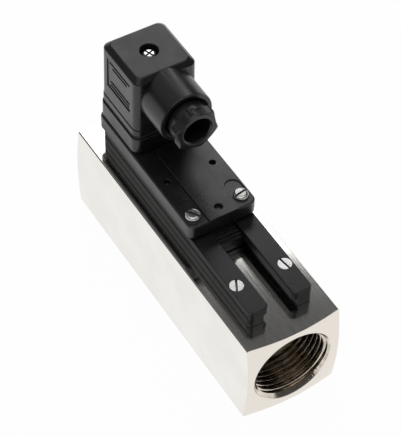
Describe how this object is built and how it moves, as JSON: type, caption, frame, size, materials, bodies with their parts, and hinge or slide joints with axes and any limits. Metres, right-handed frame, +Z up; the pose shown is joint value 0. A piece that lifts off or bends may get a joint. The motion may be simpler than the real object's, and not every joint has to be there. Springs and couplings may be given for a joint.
{
  "type": "variable area flow switch",
  "caption": "In-line variable area flow switch: square threaded body with a sprung magnetic float inside and a reed switch with plug that slides on a rail on top.",
  "frame": {"origin": "centre of the flow body's bottom face", "axes": "+X along the flow from inlet to outlet, +Z up towards the switch"},
  "size_m": [0.13, 0.04, 0.093],
  "materials": {
    "nickel_body": "polished nickel plating on brass",
    "turned_brass": "turned brass",
    "stainless": "ground stainless steel",
    "spring_steel": "drawn stainless spring wire",
    "screw_nickel": "nickel plated steel screws",
    "ferrite": "sintered ferrite magnet",
    "float_plastic": "fine moulded technical plastic",
    "black_plastic": "satin glass filled polyamide",
    "plug_plastic": "fine textured black polyamide",
    "insert_plastic": "grey polyamide",
    "seal_rubber": "black nitrile rubber",
    "board": "green laminate",
    "reed_glass": "green tinted glass",
    "tinned_copper": "tinned contacts",
    "wire_jacket": "silicone wire insulation"
  },
  "bodies": {
    "flow_body": {"flow_body": "nickel_body", "inlet_guide_star": "turned_brass", "outlet_guide_star": "turned_brass", "guide_rod": "stainless", "guide_rod_nut": "stainless", "retaining_ring": "spring_steel", "measuring_sleeve": "turned_brass", "sleeve_seal": "seal_rubber", "return_spring": "spring_steel", "rail_frame": "black_plastic", "rail_screws": "screw_nickel"},
    "float": {"float": "float_plastic", "float_magnet": "ferrite", "float_cap": "float_plastic"},
    "switch": {"switch_housing": "black_plastic", "cover_strip": "black_plastic", "clamp_inserts": "turned_brass", "slide_shoe": "black_plastic", "circuit_board": "board", "reed_carrier": "insert_plastic", "reed_switch": "reed_glass", "reed_blades": "tinned_copper", "lead_wires": "wire_jacket", "plug_socket": "plug_plastic", "socket_insert": "turned_brass", "contact_blades": "tinned_copper", "earth_blade": "tinned_copper", "flat_gasket": "seal_rubber", "plug_cap": "plug_plastic", "terminal_insert": "insert_plastic", "terminals": "turned_brass", "terminal_screws": "screw_nickel", "gland_seal": "seal_rubber", "gland_washer": "stainless"},
    "clamp_screw_left": {"clamp_screw_left": "screw_nickel"},
    "clamp_screw_right": {"clamp_screw_right": "screw_nickel"},
    "plug_screw": {"plug_screw": "screw_nickel"},
    "gland_nut": {"gland_nut": "black_plastic"}
  },
  "joints": [
    {"name": "float_travel", "type": "slide", "parent": "flow_body", "child": "float", "axis": [1, 0, 0], "range_m": [0, 0.03], "stiffness_N_per_m": 60, "springref_m": -0.006, "deforming": ["return_spring"]},
    {"name": "switch_slide", "type": "slide", "parent": "flow_body", "child": "switch", "axis": [1, 0, 0], "range_m": [0, 0.038]},
    {"name": "clamp_screw_left_turn", "type": "hinge", "parent": "switch", "child": "clamp_screw_left", "pos_m": [0.0087, -0.0105, 0.055], "axis": [0, 0, 1], "range_deg": [0, 270]},
    {"name": "clamp_screw_right_turn", "type": "hinge", "parent": "switch", "child": "clamp_screw_right", "pos_m": [0.0087, 0.0105, 0.055], "axis": [0, 0, 1], "range_deg": [0, 270]},
    {"name": "plug_screw_turn", "type": "hinge", "parent": "switch", "child": "plug_screw", "pos_m": [-0.042, 0, 0.0896], "axis": [0, 0, 1], "range_deg": [0, 270]},
    {"name": "gland_nut_turn", "type": "hinge", "parent": "switch", "child": "gland_nut", "pos_m": [-0.014, 0, 0.0816], "axis": [1, 0, 0], "range_deg": [0, 330]}
  ]
}
